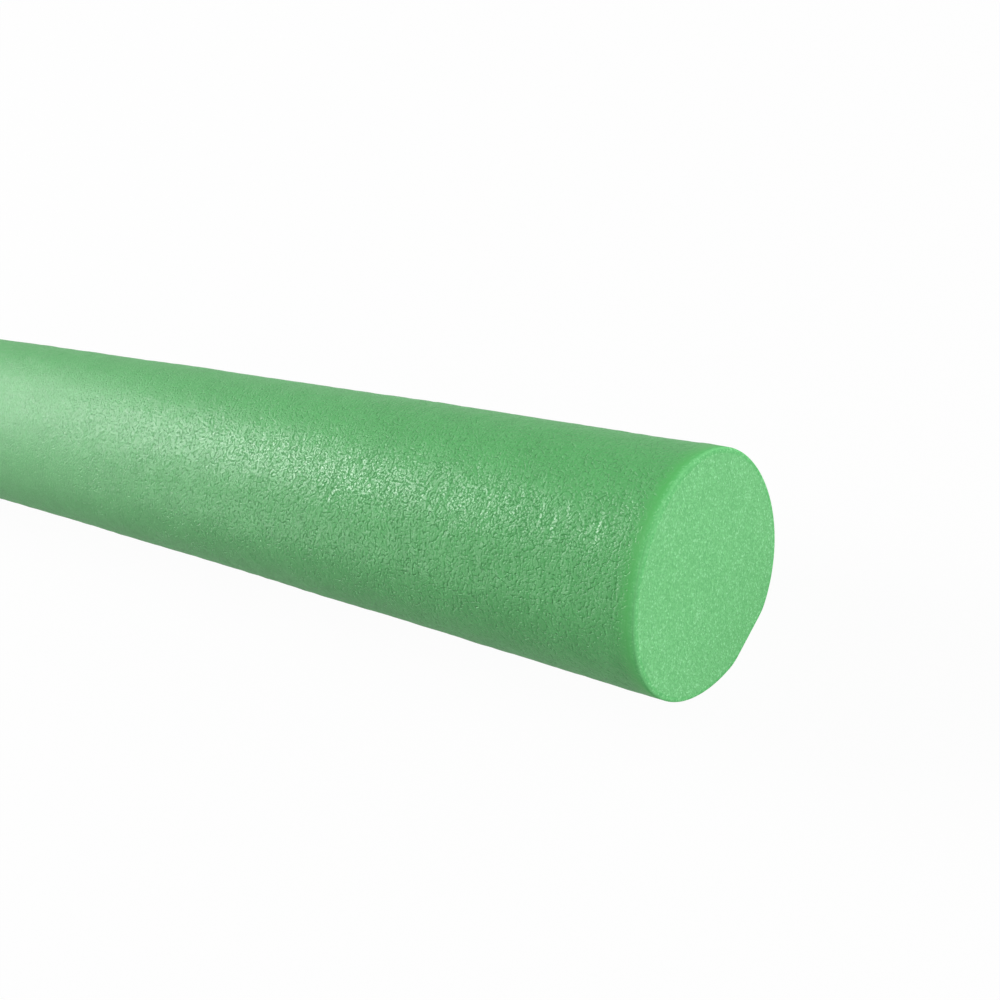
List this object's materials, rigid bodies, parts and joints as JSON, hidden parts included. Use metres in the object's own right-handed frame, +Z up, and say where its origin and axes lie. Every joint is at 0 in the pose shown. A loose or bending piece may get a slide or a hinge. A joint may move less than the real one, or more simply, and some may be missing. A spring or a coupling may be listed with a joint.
{
  "type": "pool noodle",
  "caption": "Long solid foam bar for floating and water play, slightly bowed, with a wrinkled outer skin, square-cut ends and a flattened underside.",
  "frame": {"origin": "middle of the flattened underside, on the surface that the bar rests on", "axes": "+X along the bar towards its near cut end, +Z up; the bar bows sideways, with its ends towards -Y"},
  "size_m": [1.6016, 0.081, 0.0678],
  "materials": {
    "cut_foam": "matt, fine-celled cut polyethylene foam",
    "foam_skin": "semi-gloss, finely wrinkled extruded foam skin"
  },
  "bodies": {
    "root": {"foam_core": "cut_foam", "outer_skin": "foam_skin"}
  },
  "joints": []
}
